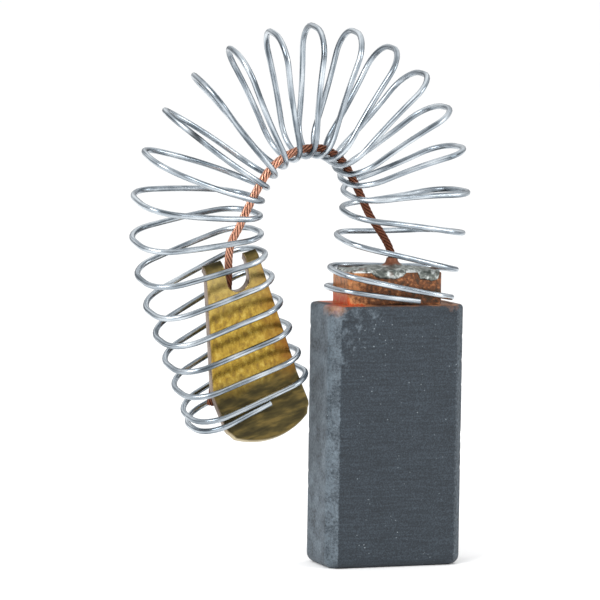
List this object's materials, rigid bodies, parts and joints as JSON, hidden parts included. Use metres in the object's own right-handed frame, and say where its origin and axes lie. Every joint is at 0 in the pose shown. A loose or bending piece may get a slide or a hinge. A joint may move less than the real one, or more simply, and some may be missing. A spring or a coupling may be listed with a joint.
{
  "type": "carbon brush",
  "caption": "Carbon brush for a small motor: a chamfered carbon block with a tenon head, an arched coil spring and a stranded shunt that ends in a notched brass terminal.",
  "frame": {"origin": "centre of the contact face that runs on the commutator", "axes": "+X along the block's width, away from the arch; +Y to the back, along the block's thickness; +Z from the contact face to the head"},
  "size_m": [0.0313, 0.0116, 0.0471],
  "materials": {
    "carbon": "ground matt carbon-graphite, copper-plated on its head",
    "solder": "dull frozen tin solder",
    "copper": "bare stranded copper, browned near the head",
    "spring_wire": "bright zinc-plated drawn wire",
    "brass": "rolled brass sheet, tarnished olive on the lip"
  },
  "bodies": {
    "root": {"carbon_block": "carbon", "solder": "solder", "shunt": "copper", "spring": "spring_wire", "terminal": "brass"}
  },
  "joints": []
}
